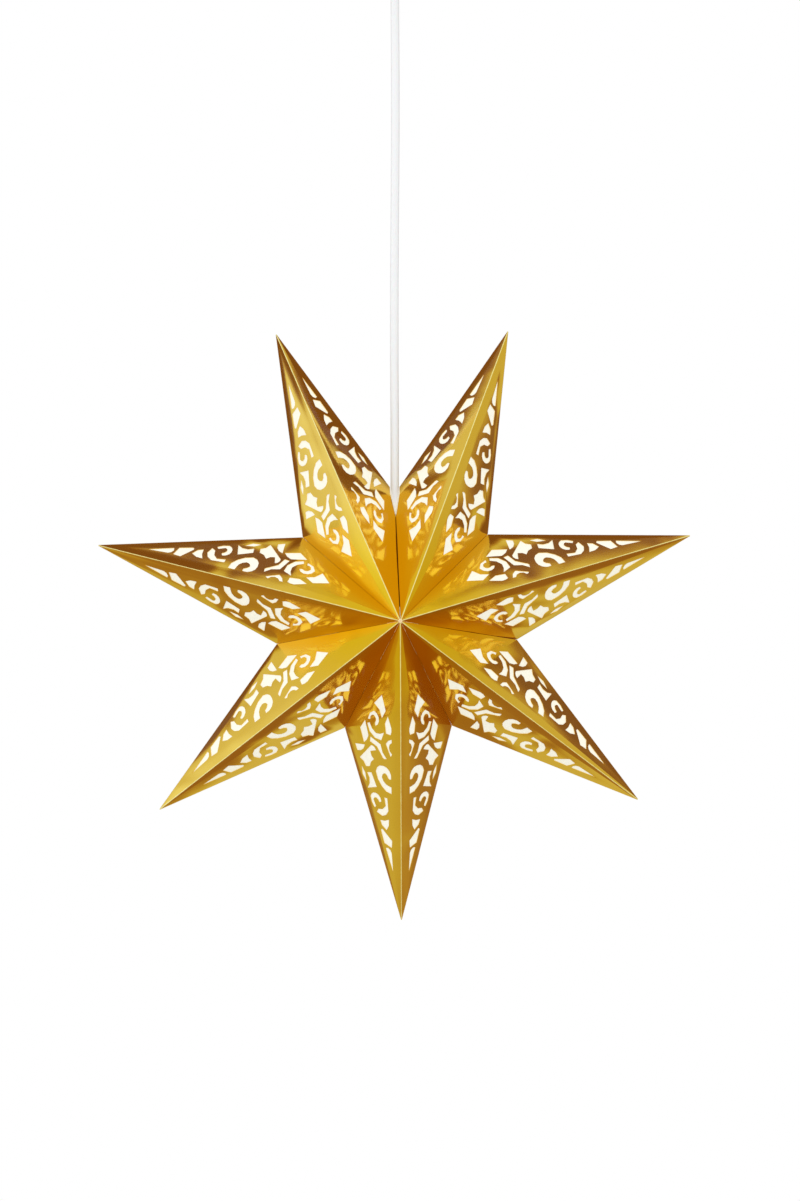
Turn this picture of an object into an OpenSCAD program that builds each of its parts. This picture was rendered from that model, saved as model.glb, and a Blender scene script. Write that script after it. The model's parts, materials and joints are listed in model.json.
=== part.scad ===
// Hanging paper star lamp: seven folded points of gold foil card with cut-out scrolls, each lined with
// translucent white paper, around a small lamp holder that hangs on a white flex from a ceiling cup.
// The ceiling is the plane z = 0, the flex runs down the Z axis, and the star's front faces -Y.

/* [Star] */
// Number of points
point_count = 7; // [7:1:7]
// Centre of the star to the tip of a point
tip_radius = 240; // [215:1:270]
// Centre of the star to the valley between two points
valley_radius = 96; // [90:1:104]
// Middle of the star to its front centre, and again to its back centre
half_depth = 72; // [66:1:80]
// How far the two top points lean in towards the closing seam, in degrees
seam_draw = 3.5; // [0:0.5:5]
// How far the star has turned on its flex, in degrees
hang_turn = 0.9; // [-3:0.1:3]
// Ceiling to the centre of the star
star_drop = 540; // [400:5:900]
// What each point has lost at its very tip
tip_cut = 1.5; // [1:0.1:1.8]

/* [Card] */
// Thickness of the gold foil card
card_t = 0.4; // [0.3:0.05:0.8]
// Film of glue between two flanges
glue_film = 0.1; // [0.05:0.05:0.3]
// Width of the glue flanges that are folded inwards along the valleys
flange_w = 9; // [7:0.5:10]
// Radius around the front and back centres where the flanges are trimmed away
flange_trim = 10; // [6:1:14]
// Small hole that the corners of the points leave at the front and back centres
centre_hole_d = 3; // [2:0.5:5]

/* [Cut-outs] */
// Ridge length of the panel that the cut-outs are drawn on
drawn_ridge = 250; // [225:1:280]
// Turn of each straight bit of a curved cut, in degrees
curve_step = 36; // [18:2:60]

/* [Lining] */
// Thickness of the translucent lining paper
lining_t = 0.2; // [0.1:0.05:0.4]
// Film of glue between the card and its lining
lining_gap = 0.1; // [0.05:0.05:0.3]
// Centre of the star to the inner edge of the lining, along a point
lining_start = 44; // [40:1:50]
// Outer edge of the lining to the tip, along a point
lining_short = 20; // [16:1:30]

/* [Seam pins] */
// Diameter of a split pin's head
pin_head_d = 6.5; // [5:0.5:7]
// Height of a split pin's domed head
pin_head_h = 1.6; // [1.2:0.1:2.4]
// Diameter of a split pin's two legs together
pin_leg_d = 2.4; // [2:0.1:3]
// Length of a split pin's bent legs
pin_leg_run = 9; // [6:0.5:11]
// Thickness of one bent leg
pin_leg_t = 0.5; // [0.4:0.1:0.8]
// Room around a pin in its hole
pin_clear = 0.3; // [0.2:0.1:0.6]
// Front or back centre of the star to a pin, as a share of the seam's length
pin_place = 0.5; // [0.4:0.05:0.6]
// Valley fold to the middle of a pin
pin_inset = 5.2; // [4.8:0.1:5.6]

/* [Flex] */
// Diameter of the round flex
flex_d = 6.5; // [5:0.1:7.5]
// Room around the flex where it leaves the star
flex_clear = 0.45; // [0.4:0.05:1.2]
// Depth of the V in the two top points that the flex comes out of
notch_run = 18.5; // [16:0.5:24]

/* [Lamp holder] */
// Diameter of the holder's cap where it meets the skirt
cap_d = 29; // [27:0.5:31]
// Diameter of the cap's flat top
cap_top_d = 24; // [22:0.5:26]
// Height of the cap
cap_h = 22; // [20:0.5:26]
// Height of the cap's tapered top
cap_taper = 5; // [3:0.5:7]
// Height of the skirt below the cap
skirt_h = 34; // [31:0.5:40]
// Wall of the cap and the skirt
holder_wall = 1.8; // [1.5:0.1:2.2]
// Height of the screwed joint between the cap and the skirt
joint_h = 7; // [5:0.5:8]
// Room between pieces that are screwed or pushed together
fit_gap = 0.15; // [0.1:0.05:0.3]
// Room between the cap's shoulder and the flanges that rest on it
seat_gap = 0.2; // [0.1:0.05:0.3]
// Diameter of the skirt's two shade rings
ring_d = 33; // [31:0.5:36]
// Height of a shade ring
ring_h = 2.4; // [2:0.1:3]
// Diameter of the grip that the flex comes out of
grip_d = 11; // [10:0.5:13]
// Height of the grip above the cap
grip_h = 9; // [7:0.5:10]
// Height of the ceramic contact block
block_h = 8; // [6:0.5:9]
// Inner diameter of the threaded metal shell
shell_d = 14.6; // [14.4:0.1:15.2]
// Thickness of the threaded metal shell
shell_t = 0.5; // [0.4:0.1:0.8]
// Height of the threaded metal shell
shell_h = 21; // [18:0.5:24]
// Diameter of a terminal screw's head
terminal_d = 4; // [3:0.5:4.5]

/* [Bulb] */
// Diameter of the globe
globe_d = 45; // [42:0.5:50]
// Length of the bulb from the foot of its cap to the far end of the globe
bulb_len = 78; // [74:0.5:84]
// Diameter of the bulb's threaded cap
bulb_cap_d = 13.8; // [13.4:0.1:14.2]
// Length of the bulb's threaded cap
bulb_cap_h = 21; // [19:0.5:22]
// Diameter of the bulb's collar above the threaded cap
collar_d = 24; // [20:0.5:26]

/* [Ceiling fitting] */
// Diameter of the ceiling cup
cup_d = 60; // [52:1:76]
// Depth of the ceiling cup
cup_h = 24; // [20:1:34]
// Wall of the ceiling cup
cup_wall = 2; // [1.5:0.1:3]
// Length of the steel strap that is screwed to the ceiling
strap_len = 50; // [44:1:51]
// Width of the strap
strap_w = 14; // [13:0.5:18]
// Thickness of the strap
strap_t = 1.5; // [1:0.1:2.5]
// Distance between the strap's two screw holes
strap_pitch = 36; // [32:1:40]
// Diameter of the strap's screw holes
strap_hole_d = 4.5; // [3.5:0.5:5.5]
// Diameter of the threaded cord grip that hangs in the strap
nipple_d = 10; // [9:0.5:11]
// Diameter of the nut that holds the cup up
nut_d = 18; // [16:0.5:22]
// Height of that nut
nut_h = 7; // [5:0.5:9]
// Height of the terminal block in the cup
terminal_h = 10; // [8:0.5:12]

/* [Hidden] */
$fn = 64;
// Longer than any piece, for what is cut right through
reach = 600;
// Half the depth of a cut through one sheet
cut_reach = 3;
point_step = 360 / point_count;
card_back = glue_film / 2;
// The valley corner of the panel that the cut-outs are drawn on
drawn_valley = [103.5, 60.5];

// Corners of each cut-out in one panel, in mm: x runs from the centre out along the ridge, y across
// the panel away from the ridge, and the third number is how far the edge to the next corner bows out
cut_outs = [
    // Leaf that points to the centre
    [[65, 20, 0.5], [77, 16, 0], [84.5, 20.3, -2], [74, 28.5, 0]],
    // Leaf beside the ridge
    [[80.8, 13.8, 0], [90, 10, 0.5], [95.8, 11, 0], [95.8, 16, 2.2]],
    // Small inner scroll
    [[88.8, 35.4, 1.7], [80.3, 28.5, 4.6], [92.6, 27.2, 0.8], [88.5, 26.8, -1.2], [84, 29.5, -1.2],
        [88.3, 32.6, 0]],
    // Crescent around the inner scroll
    [[95.6, 18, 0.3], [102.8, 21, 4.2], [92.5, 36.2, 0.2], [91.3, 33.3, -1.2], [98.3, 26.5, -0.8]],
    // Long leaf beside the valley
    [[90.5, 38.3, 0], [102.5, 34.7, 0.8], [109.8, 39.8, -0.5], [98.5, 43.8, 0]],
    // Wave beside the ridge
    [[99.2, 9.8, 0], [101.8, 9.8, -3.1], [111.3, 9.6, 0.3], [113.8, 11.2, 0.8], [104.5, 16.2, 1]],
    // Slender bud and its stalk
    [[116.8, 15.2, 0.2], [117.6, 18.5, 0.3], [115.3, 20.8, -2.2], [107, 33.3, 0],
        [102.8, 32.8, -0.4], [106.3, 21.8, 0.2], [112.5, 19.6, 0.2]],
    // Four-pointed flower with a hooked tail
    [[112.6, 26.6, -0.3], [115, 32.8, -1], [120.8, 29, -1.1], [128, 33.6, -0.2], [129.2, 37.8, -1.2],
        [123.7, 44.6, -0.8], [109.9, 32, 1.2]],
    // Small fan beside the outer edge
    [[111.3, 38.7, 2.1], [118.3, 47.2, -0.3], [113.3, 49.6, -0.5]],
    // Large scroll
    [[123.5, 19, 3.2], [132.6, 10.6, 0.3], [132.8, 13.6, -0.6], [129.1, 17.2, -1], [133.3, 20.4, -1.5],
        [138.7, 13.2, 0], [139, 10.2, 0], [144.6, 10.2, 1.4], [141, 20.8, 1.1], [130.3, 27.2, 2.1]],
    // Hollow-sided leaf near the outer edge
    [[132.7, 31.8, 0.5], [143.3, 26.1, -0.4], [146.9, 36.2, -2.6], [133.8, 36.6, -0.3]],
    // Sliver below it
    [[129.6, 42.6, 0.2], [134.8, 38.6, 0.3], [142.3, 36.9, 2]],
    // Small outer scroll
    [[161.2, 28.9, 0.8], [152.8, 33.1, 1.4], [148.6, 27, 1.4], [153.8, 21.2, 0.4], [155.3, 23.6, -0.6],
        [152.4, 27.2, -0.7], [154.8, 29.7, -0.4], [159.6, 27, 0.2]],
    // Crescent around the outer scroll
    [[149.5, 14.8, 0.5], [160, 13.7, 1.2], [166, 20.5, 0.4], [164.4, 26.4, 0], [161.2, 24.6, -1.4],
        [156.5, 16.7, -0.4], [149.6, 18.2, 0]],
    // Fan between the crescent and the blade
    [[167, 13.2, 1.2], [176.8, 15.8, -0.2], [174, 20.8, 0], [170, 22.8, -0.8]],
    // Blade
    [[184, 9.8, 0], [190.2, 10.2, -0.3], [188.4, 18.3, 0], [178.5, 22, 0.4], [177, 20.2, 0.3]],
    // Thin wedge towards the tip
    [[194.5, 10.3, -0.2], [211, 8.8, 0], [192.2, 16.8, 0.3], [191.3, 14, 0.7]]
];

// The star in its own frame: centre at 0, points in the plane y = 0, the seam's valley at the top
tip = [0, 0, tip_radius];
front = [0, -half_depth, 0];
back = [0, half_depth, 0];
seam_len = norm([valley_radius, half_depth]);
// Depth and radius at which a flange's inner edge would meet the star's axis and its middle plane
window_y = half_depth - flange_w * seam_len / valley_radius;
window_r = valley_radius - flange_w * seam_len / half_depth;

// Turn of a point away from the top, clockwise from the front, with the lean towards the seam
function lean(c) = sign(180 - c) * seam_draw * pow(abs(180 - c) / (180 - point_step / 2), 2);
function point_turn(k) = let (c = point_step * (k - 0.5)) c - lean(c);
function valley_turn(k) = (k % point_count == 0) ? floor(k / point_count) * 360
    : (point_turn(k) + point_turn(k + 1)) / 2;
// Valley corner of a point whose ridge stands up, at an angle from the ridge, clockwise positive
function valley(a) = valley_radius * [sin(a), 0, cos(a)];
function panel_normal(v) = let (n = cross(tip - front, v - front)) n / norm(n) * sign(n * tip);

// Tip of a point whose four panels have all moved inwards by a depth
function inner_tip(l, r, depth) =
    let (
        nr = panel_normal(r),
        nl = panel_normal(l),
        cr = nr * tip - depth,
        cl = nl * tip - depth,
        det = nr.x * nl.z - nr.z * nl.x
    )
    [(cr * nl.z - cl * nr.z) / det, 0, (nr.x * cl - nl.x * cr) / det];

// Where a line from the tip, running as the line from tip to p does, comes down to the height low
function drop_to(t, p, low) = t + (p - tip) * (t.z - low) / (tip.z - p.z);

// Points of one edge from p to q that bows out by h, without q
function bowed(p, q, h) =
    let (
        chord = norm(q - p),
        along = (q - p) / chord,
        out = [along.y, -along.x] * (h < 0 ? -1 : 1),
        half = 2 * atan(2 * abs(h) / chord),
        n = max(1, ceil(2 * half / curve_step)),
        radius = h == 0 ? 0 : chord / (2 * sin(half)),
        middle = (p + q) / 2 - out * radius * cos(half)
    )
    n == 1 ? [p] : [
        for (i = [0 : n - 1])
            let (a = -half + 2 * half * i / n)
            middle + radius * (sin(a) * along + cos(a) * out)
    ];
function flat(p) = [p.x, p.y];
function outline(c) = [
    for (i = [0 : len(c) - 1])
        each bowed(flat(c[i]), flat(c[(i + 1) % len(c)]), c[i][2])
];
// A drawn point, carried over to a panel with this ridge length and this valley corner
function on_panel(p, ridge, v) =
    let (across = p.y / drawn_valley.y)
    [(p.x - across * drawn_valley.x) * ridge / drawn_ridge + across * v.x, across * v.y];

// The lamp holder and the flex on the Z axis, heights above the star's centre and below the ceiling
star_z = -star_drop;
notch_z = star_z + valley_radius;
seat_z = star_z + valley_radius
    * (1 - (cap_top_d / 2 + seat_gap + flange_w * seam_len / valley_radius) / half_depth);
cap_end = seat_z - cap_h;
skirt_end = cap_end - skirt_h;
cap_inner_r = cap_d / 2 - holder_wall;
spigot_r = cap_inner_r - fit_gap;
ledge_h = 1.5;
ledge_gap = 1;
ledge_r = shell_d / 2 + shell_t + ledge_gap;
neck_d = 8;
neck_run = 5;
grip_bore = 6;
grip_nut_d = 13;
grip_nut_h = 3;
contact_d = 6;
contact_h = 2;
foot_gap = 0.2;
terminal_x = 6.5;
terminal_screw_h = 2;
core_w = 1.6;
core_x = 1.6;
bulb_foot = cap_end - contact_h - foot_gap;
bulb_end = bulb_foot - bulb_len;
globe_z = bulb_end + globe_d / 2;
bulb_seal_h = 2;
collar_h = 5;
collar_z = bulb_foot - bulb_seal_h - bulb_cap_h;

// The ceiling fitting below the ceiling at z = 0
nut_z = -cup_h - nut_h;
nipple_out = 3;
nipple_end = nut_z - nipple_out;
nipple_bore = 8;
terminal_w = 7;
terminal_side = 1;
rim_r = 1.2;

// Sides of the flex's tube and the points that it runs through, from the ceiling down
flex_sides = 12;
flex_top = nipple_end + nipple_bore;
flex_end = seat_z + grip_h - grip_bore;
flex_route = [
    [0, 0, flex_top], [0, 0, -45], [0.1, 0, -60], [0.2, 0.1, -75], [0.3, 0.1, -90], [0.4, 0.2, -105],
    [0.5, 0.2, -120], [0.5, 0.2, -135], [0.5, 0.2, -150], [0.5, 0.2, -165], [0.4, 0.2, -180],
    [0.3, 0.1, -195], [0.2, 0.1, -210], [0.1, 0, -225], [0, 0, -240], [-0.1, 0, -255],
    [-0.2, 0, -270], [-0.3, 0, -285], [-0.3, 0, -300], [-0.3, 0, -315], [-0.3, 0, -330],
    [-0.3, 0, -345], [-0.2, 0, -360], [-0.1, 0, -375], [0, 0, -390], [0, 0, flex_end]
];

// Puts the star on its flex: the notch hangs on the Z axis and the star has turned about it
module hung() {
    translate([0, 0, notch_z])
        rotate([0, -hang_turn, 0])
            translate([0, 0, -valley_radius])
                children();
}

module across_star(height) {
    rotate([90, 0, 0])
        linear_extrude(height = height, center = true)
            children();
}

// All that lies inside four panels, each moved inwards by depth, down past the star's centre
module four_panels(l, r, depth) {
    t = inner_tip(l, r, depth);
    low = -half_depth;
    polyhedron(
        points = [t, drop_to(t, front, low), drop_to(t, r, low), drop_to(t, back, low),
            drop_to(t, l, low)],
        faces = [[0, 2, 1], [0, 3, 2], [0, 4, 3], [0, 1, 4], [1, 2, 3, 4]]
    );
}

// The sector between a point's two valleys, each side moved inwards by inset
module sector(left_a, right_a, inset) {
    corner = inset * [sin(right_a) - sin(left_a), cos(left_a) + cos(right_a)] / sin(left_a + right_a);
    across_star(2 * reach)
        polygon([
            corner,
            corner + reach * [-sin(left_a), cos(left_a)],
            corner + reach * [sin(right_a), cos(right_a)]
        ]);
}

// Opening between a front and a back flange, cut through the valley plane at an angle from the ridge
module flange_window(a) {
    rotate([0, a, 0])
        rotate([0, 90, 0])
            linear_extrude(height = 2 * cut_reach, center = true)
                polygon([[0, -window_y], [-window_r, 0], [0, window_y]]);
}

// Cut-outs through one panel, between the ridge from the corner a and the valley corner v
module panel_cuts(a, v) {
    ridge = norm(tip - a);
    ex = (tip - a) / ridge;
    w = v - a;
    vx = w * ex;
    vy = norm(w - vx * ex);
    ey = (w - vx * ex) / vy;
    ez = cross(ex, ey);
    multmatrix([
        [ex.x, ey.x, ez.x, a.x],
        [ex.y, ey.y, ez.y, a.y],
        [ex.z, ey.z, ez.z, a.z]
    ])
        for (c = cut_outs)
            linear_extrude(height = 2 * cut_reach, center = true)
                polygon([for (p = outline(c)) on_panel(p, ridge, [vx, vy])]);
}

// One point of the star, folded from one sheet with its four glue flanges, its ridge standing up
module folded_card(left_a, right_a) {
    l = valley(-left_a);
    r = valley(right_a);
    difference() {
        intersection() {
            four_panels(l, r, 0);
            sector(left_a, right_a, card_back);
        }
        intersection() {
            four_panels(l, r, card_t);
            union() {
                sector(left_a, right_a, card_back + card_t);
                across_star(2 * reach)
                    circle(r = flange_trim);
                flange_window(-left_a);
                flange_window(right_a);
            }
        }
        for (a = [front, back])
            for (v = [l, r])
                panel_cuts(a, v);
        translate([0, 0, tip_radius - tip_cut + reach / 2])
            cube(reach, center = true);
        across_star(2 * reach)
            circle(d = centre_hole_d);
    }
}

// The lining of one point: a folded sheet of paper that backs the cut-outs of all four panels
module folded_lining(left_a, right_a) {
    l = valley(-left_a);
    r = valley(right_a);
    outer = card_t + lining_gap;
    intersection() {
        difference() {
            four_panels(l, r, outer);
            four_panels(l, r, outer + lining_t);
        }
        sector(left_a, right_a, card_back + card_t + lining_gap);
        translate([-reach / 2, -reach / 2, lining_start])
            cube([reach, reach, tip_radius - lining_short - lining_start]);
    }
}

// Place of a pin in the seam's plane x = 0, on the front side
pin_at = front + pin_place * (valley(0) - front)
    + [0, valley_radius, -half_depth] * pin_inset / seam_len;
pin_tilt = atan2(half_depth, valley_radius);

// Way for the flex between the two top points: a round hole down through the flanges, and the V where
// the two points part above the seam
module flex_notch() {
    notch_w = flex_d + 2 * flex_clear;
    translate([0, 0, valley_radius])
        cylinder(d = notch_w, h = 6 * flange_w, center = true);
    across_star(2 * reach)
        polygon([
            [0, valley_radius - notch_run], [notch_w / 2, valley_radius],
            [notch_w / 2, valley_radius + flange_w], [-notch_w / 2, valley_radius + flange_w],
            [-notch_w / 2, valley_radius]
        ]);
}

module point(k) {
    color([0.83, 0.64, 0.12])
        hung()
            difference() {
                rotate([0, point_turn(k), 0])
                    folded_card(point_turn(k) - valley_turn(k - 1), valley_turn(k) - point_turn(k));
                if (k == 1 || k == point_count) {
                    flex_notch();
                    for (s = [1, -1])
                        translate([0, s * pin_at.y, pin_at.z])
                            rotate([0, 90, 0])
                                cylinder(d = pin_leg_d + 2 * pin_clear, h = cut_reach, center = true);
                }
            }
}

module lining(k) {
    color([0.98, 0.95, 0.86])
        hung()
            difference() {
                rotate([0, point_turn(k), 0])
                    folded_lining(point_turn(k) - valley_turn(k - 1), valley_turn(k) - point_turn(k));
                if (k == 1 || k == point_count)
                    flex_notch();
            }
}

// A brass split pin through both flanges: domed head on one side, two legs bent flat on the other
module seam_pin(s) {
    face = card_back + card_t + fit_gap;
    dome_r = (pow(pin_head_d / 2, 2) + pow(pin_head_h, 2)) / (2 * pin_head_h);
    color([0.78, 0.6, 0.25])
        hung()
            translate([0, s * pin_at.y, pin_at.z])
                rotate([-s * pin_tilt, 0, 0]) {
                    translate([-face, 0, 0])
                        rotate([0, -90, 0])
                            intersection() {
                                translate([0, 0, pin_head_h - dome_r])
                                    sphere(r = dome_r);
                                cylinder(d = pin_head_d, h = pin_head_h);
                            }
                    rotate([0, 90, 0])
                        cylinder(d = pin_leg_d, h = 2 * face + pin_leg_t, center = true);
                    translate([face + pin_leg_t / 2, 0, 0])
                        cube([pin_leg_t, pin_leg_d, 2 * pin_leg_run], center = true);
                }
}

// Direction of the flex at its i-th point, and the i-th ring of its tube
function along_flex(i) =
    let (d = flex_route[min(i + 1, len(flex_route) - 1)] - flex_route[max(i - 1, 0)])
    d / norm(d);
function flex_ring(i) = [
    for (j = [0 : flex_sides - 1])
        let (
            a = 360 * j / flex_sides,
            d = along_flex(i),
            across = cross([0, 1, 0], d) / norm(cross([0, 1, 0], d))
        )
        flex_route[i] + flex_d / 2 * (cos(a) * across + sin(a) * cross(d, across))
];

// The white round flex: a tube along its route, with flat ends
module flex() {
    rings = len(flex_route);
    color([0.96, 0.96, 0.95])
        polyhedron(
            points = [for (i = [0 : rings - 1]) each flex_ring(i)],
            faces = concat(
                [[for (j = [0 : flex_sides - 1]) j]],
                [for (i = [0 : rings - 2]) for (j = [0 : flex_sides - 1])
                    let (a = i * flex_sides + j, b = i * flex_sides + (j + 1) % flex_sides)
                    each [[a, a + flex_sides, b], [b, a + flex_sides, b + flex_sides]]],
                [[for (j = [flex_sides - 1 : -1 : 0]) (rings - 1) * flex_sides + j]]
            )
        );
}

// Round piece with a closed outline of [radius, height] points
module turned(outline_points) {
    rotate_extrude()
        polygon(outline_points);
}
module ring(r_out, r_in, low, high) {
    turned([[r_in, low], [r_out, low], [r_out, high], [r_in, high]]);
}

// Nylon grip that clamps the flex on top of the holder, with its neck through the cap
module flex_grip() {
    top = seat_z + grip_h;
    color([0.95, 0.95, 0.93])
        turned([
            [0, seat_z - holder_wall - neck_run], [neck_d / 2, seat_z - holder_wall - neck_run],
            [neck_d / 2, seat_z], [grip_d / 2, seat_z], [grip_d / 2, top - rim_r],
            [grip_d / 2 - rim_r, top], [flex_d / 2 + fit_gap, top],
            [flex_d / 2 + fit_gap, top - grip_bore], [0, top - grip_bore]
        ]);
}

// Nut on the grip's neck, inside the cap
module grip_nut() {
    top = seat_z - holder_wall;
    color([0.95, 0.95, 0.93])
        difference() {
            translate([0, 0, top - grip_nut_h])
                linear_extrude(height = grip_nut_h)
                    circle(d = grip_nut_d, $fn = 6);
            translate([0, 0, top - 2 * grip_nut_h])
                cylinder(d = neck_d + 2 * fit_gap, h = 3 * grip_nut_h);
        }
}

// The flex's two cores, from the neck out to the terminal screws
module flex_cores() {
    high = seat_z - holder_wall - neck_run;
    low = cap_end + block_h + terminal_screw_h;
    for (s = [1, -1])
        color(s > 0 ? [0.45, 0.25, 0.12] : [0.15, 0.3, 0.7])
            across_star(core_w)
                polygon([
                    [s * core_x - core_w / 2, high], [s * core_x + core_w / 2, high],
                    [s * terminal_x + core_w / 2, low], [s * terminal_x - core_w / 2, low]
                ]);
}

// Moulded cap with a hole for the grip's neck
module holder_cap() {
    hole_r = neck_d / 2 + fit_gap;
    color([0.96, 0.96, 0.94])
        turned([
            [hole_r, seat_z], [cap_top_d / 2, seat_z], [cap_d / 2, seat_z - cap_taper],
            [cap_d / 2, cap_end + fit_gap], [cap_inner_r, cap_end + fit_gap],
            [cap_inner_r, seat_z - cap_taper - holder_wall],
            [cap_top_d / 2 - holder_wall, seat_z - holder_wall], [hole_r, seat_z - holder_wall]
        ]);
}

// Moulded skirt: a spigot that screws into the cap, a ledge for the contact block, two shade rings
module holder_skirt() {
    ring_top = cap_end - joint_h;
    color([0.96, 0.96, 0.94])
        turned([
            [spigot_r - holder_wall, cap_end + joint_h], [spigot_r, cap_end + joint_h],
            [spigot_r, cap_end], [cap_d / 2, cap_end], [cap_d / 2, ring_top],
            [ring_d / 2, ring_top], [ring_d / 2, ring_top - ring_h], [cap_d / 2, ring_top - ring_h],
            [cap_d / 2, ring_top - 2 * ring_h], [ring_d / 2, ring_top - 2 * ring_h],
            [ring_d / 2, ring_top - 3 * ring_h], [cap_d / 2, ring_top - 3 * ring_h],
            [cap_d / 2, skirt_end], [cap_inner_r, skirt_end], [cap_inner_r, cap_end - ledge_h],
            [ledge_r, cap_end - ledge_h], [ledge_r, cap_end], [spigot_r - holder_wall, cap_end]
        ]);
}

// Ceramic block on the skirt's ledge
module contact_block() {
    color([0.93, 0.92, 0.88])
        translate([0, 0, cap_end])
            cylinder(r = spigot_r - holder_wall - fit_gap, h = block_h);
}

module terminal_screws() {
    color([0.75, 0.68, 0.45])
        for (s = [1, -1])
            translate([s * terminal_x, 0, cap_end + block_h])
                cylinder(d = terminal_d, h = terminal_screw_h);
}

// Threaded metal shell under the block, for the bulb's cap
module threaded_shell() {
    color([0.78, 0.77, 0.72])
        ring(shell_d / 2 + shell_t, shell_d / 2, cap_end - shell_h, cap_end);
}

module centre_contact() {
    color([0.8, 0.66, 0.3])
        translate([0, 0, cap_end - contact_h])
            cylinder(d = contact_d, h = contact_h);
}

// Sealed globe bulb with its threaded cap, one solid
module bulb() {
    globe_r = globe_d / 2;
    globe_steps = 24;
    neck_turn = acos((collar_d / 2) / globe_r);
    color([1, 0.97, 0.88])
        turned(concat(
            [[0, bulb_foot], [contact_d / 2, bulb_foot], [bulb_cap_d / 2, bulb_foot - bulb_seal_h],
                [bulb_cap_d / 2, collar_z], [collar_d / 2, collar_z - collar_h]],
            [for (i = [0 : globe_steps - 1])
                let (a = neck_turn - (neck_turn + 90) * i / globe_steps)
                [globe_r * cos(a), globe_z + globe_r * sin(a)]],
            [[0, bulb_end]]
        ));
}

// Steel strap that is screwed to the ceiling by its two outer holes
module mounting_strap() {
    color([0.72, 0.73, 0.74])
        difference() {
            translate([-strap_len / 2, -strap_w / 2, -strap_t])
                cube([strap_len, strap_w, strap_t]);
            for (x = [-strap_pitch / 2, strap_pitch / 2])
                translate([x, 0, -2 * strap_t])
                    cylinder(d = strap_hole_d, h = 3 * strap_t);
            translate([0, 0, -2 * strap_t])
                cylinder(d = nipple_d + 2 * fit_gap, h = 3 * strap_t);
        }
}

// Threaded nipple that grips the flex and hangs in the strap
module ceiling_nipple() {
    color([0.95, 0.95, 0.93])
        turned([
            [0, 0], [nipple_d / 2, 0], [nipple_d / 2, nipple_end],
            [flex_d / 2 + fit_gap, nipple_end], [flex_d / 2 + fit_gap, flex_top], [0, flex_top]
        ]);
}

// Nut on the nipple that holds the cup against the ceiling
module cup_nut() {
    hole_r = nipple_d / 2 + fit_gap;
    color([0.95, 0.95, 0.93])
        turned([
            [hole_r, nut_z], [nut_d / 2 - rim_r, nut_z], [nut_d / 2, nut_z + rim_r],
            [nut_d / 2, -cup_h], [hole_r, -cup_h]
        ]);
}

// White cup that hides the fitting
module ceiling_cup() {
    r = cup_d / 2;
    hole_r = nipple_d / 2 + fit_gap;
    corner_r = 6;
    corner_step = 15;
    color([0.97, 0.97, 0.96])
        turned(concat(
            [[hole_r, -cup_h]],
            [for (a = [-90 : corner_step : 0])
                [r - corner_r + corner_r * cos(a), -cup_h + corner_r + corner_r * sin(a)]],
            [[r, 0], [r - cup_wall, 0]],
            [for (a = [0 : -corner_step : -90])
                [r - corner_r + (corner_r - cup_wall) * cos(a),
                    -cup_h + corner_r + (corner_r - cup_wall) * sin(a)]],
            [[hole_r, cup_wall - cup_h]]
        ));
}

// Terminal block under the strap, beside the nipple
module terminal_block() {
    color([0.9, 0.9, 0.86])
        translate([nipple_d / 2 + terminal_side, -strap_w / 2, -strap_t - terminal_h])
            cube([terminal_w, strap_w, terminal_h]);
}

point(1);  // point_1
point(2);  // point_2
point(3);  // point_3
point(4);  // point_4
point(5);  // point_5
point(6);  // point_6
point(7);  // point_7
lining(1);  // lining_1
lining(2);  // lining_2
lining(3);  // lining_3
lining(4);  // lining_4
lining(5);  // lining_5
lining(6);  // lining_6
lining(7);  // lining_7
seam_pin(1);  // seam_pin_front
seam_pin(-1);  // seam_pin_back
flex();
flex_grip();
grip_nut();
flex_cores();
holder_cap();
holder_skirt();
contact_block();
terminal_screws();
threaded_shell();
centre_contact();
bulb();
mounting_strap();
ceiling_nipple();
cup_nut();
ceiling_cup();
terminal_block();
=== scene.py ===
import bpy
from math import atan2, cos, pi, radians, sin
from mathutils import Matrix, Vector
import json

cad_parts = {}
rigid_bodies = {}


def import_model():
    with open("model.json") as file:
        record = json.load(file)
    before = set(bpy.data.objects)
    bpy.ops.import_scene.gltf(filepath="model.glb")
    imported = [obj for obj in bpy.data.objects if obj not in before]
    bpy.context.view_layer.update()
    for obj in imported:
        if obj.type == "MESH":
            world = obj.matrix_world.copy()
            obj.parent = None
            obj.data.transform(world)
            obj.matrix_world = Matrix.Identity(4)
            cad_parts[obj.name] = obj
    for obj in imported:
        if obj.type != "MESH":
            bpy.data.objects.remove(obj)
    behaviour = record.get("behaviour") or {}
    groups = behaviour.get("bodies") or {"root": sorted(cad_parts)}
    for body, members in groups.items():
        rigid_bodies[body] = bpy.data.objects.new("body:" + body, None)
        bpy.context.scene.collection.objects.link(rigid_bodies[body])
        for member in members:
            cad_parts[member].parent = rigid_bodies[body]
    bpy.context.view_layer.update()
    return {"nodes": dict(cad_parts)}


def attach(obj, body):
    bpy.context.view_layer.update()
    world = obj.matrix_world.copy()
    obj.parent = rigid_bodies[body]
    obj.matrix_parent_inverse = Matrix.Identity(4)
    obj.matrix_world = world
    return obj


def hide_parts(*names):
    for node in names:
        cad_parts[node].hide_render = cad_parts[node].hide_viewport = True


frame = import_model()

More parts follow.
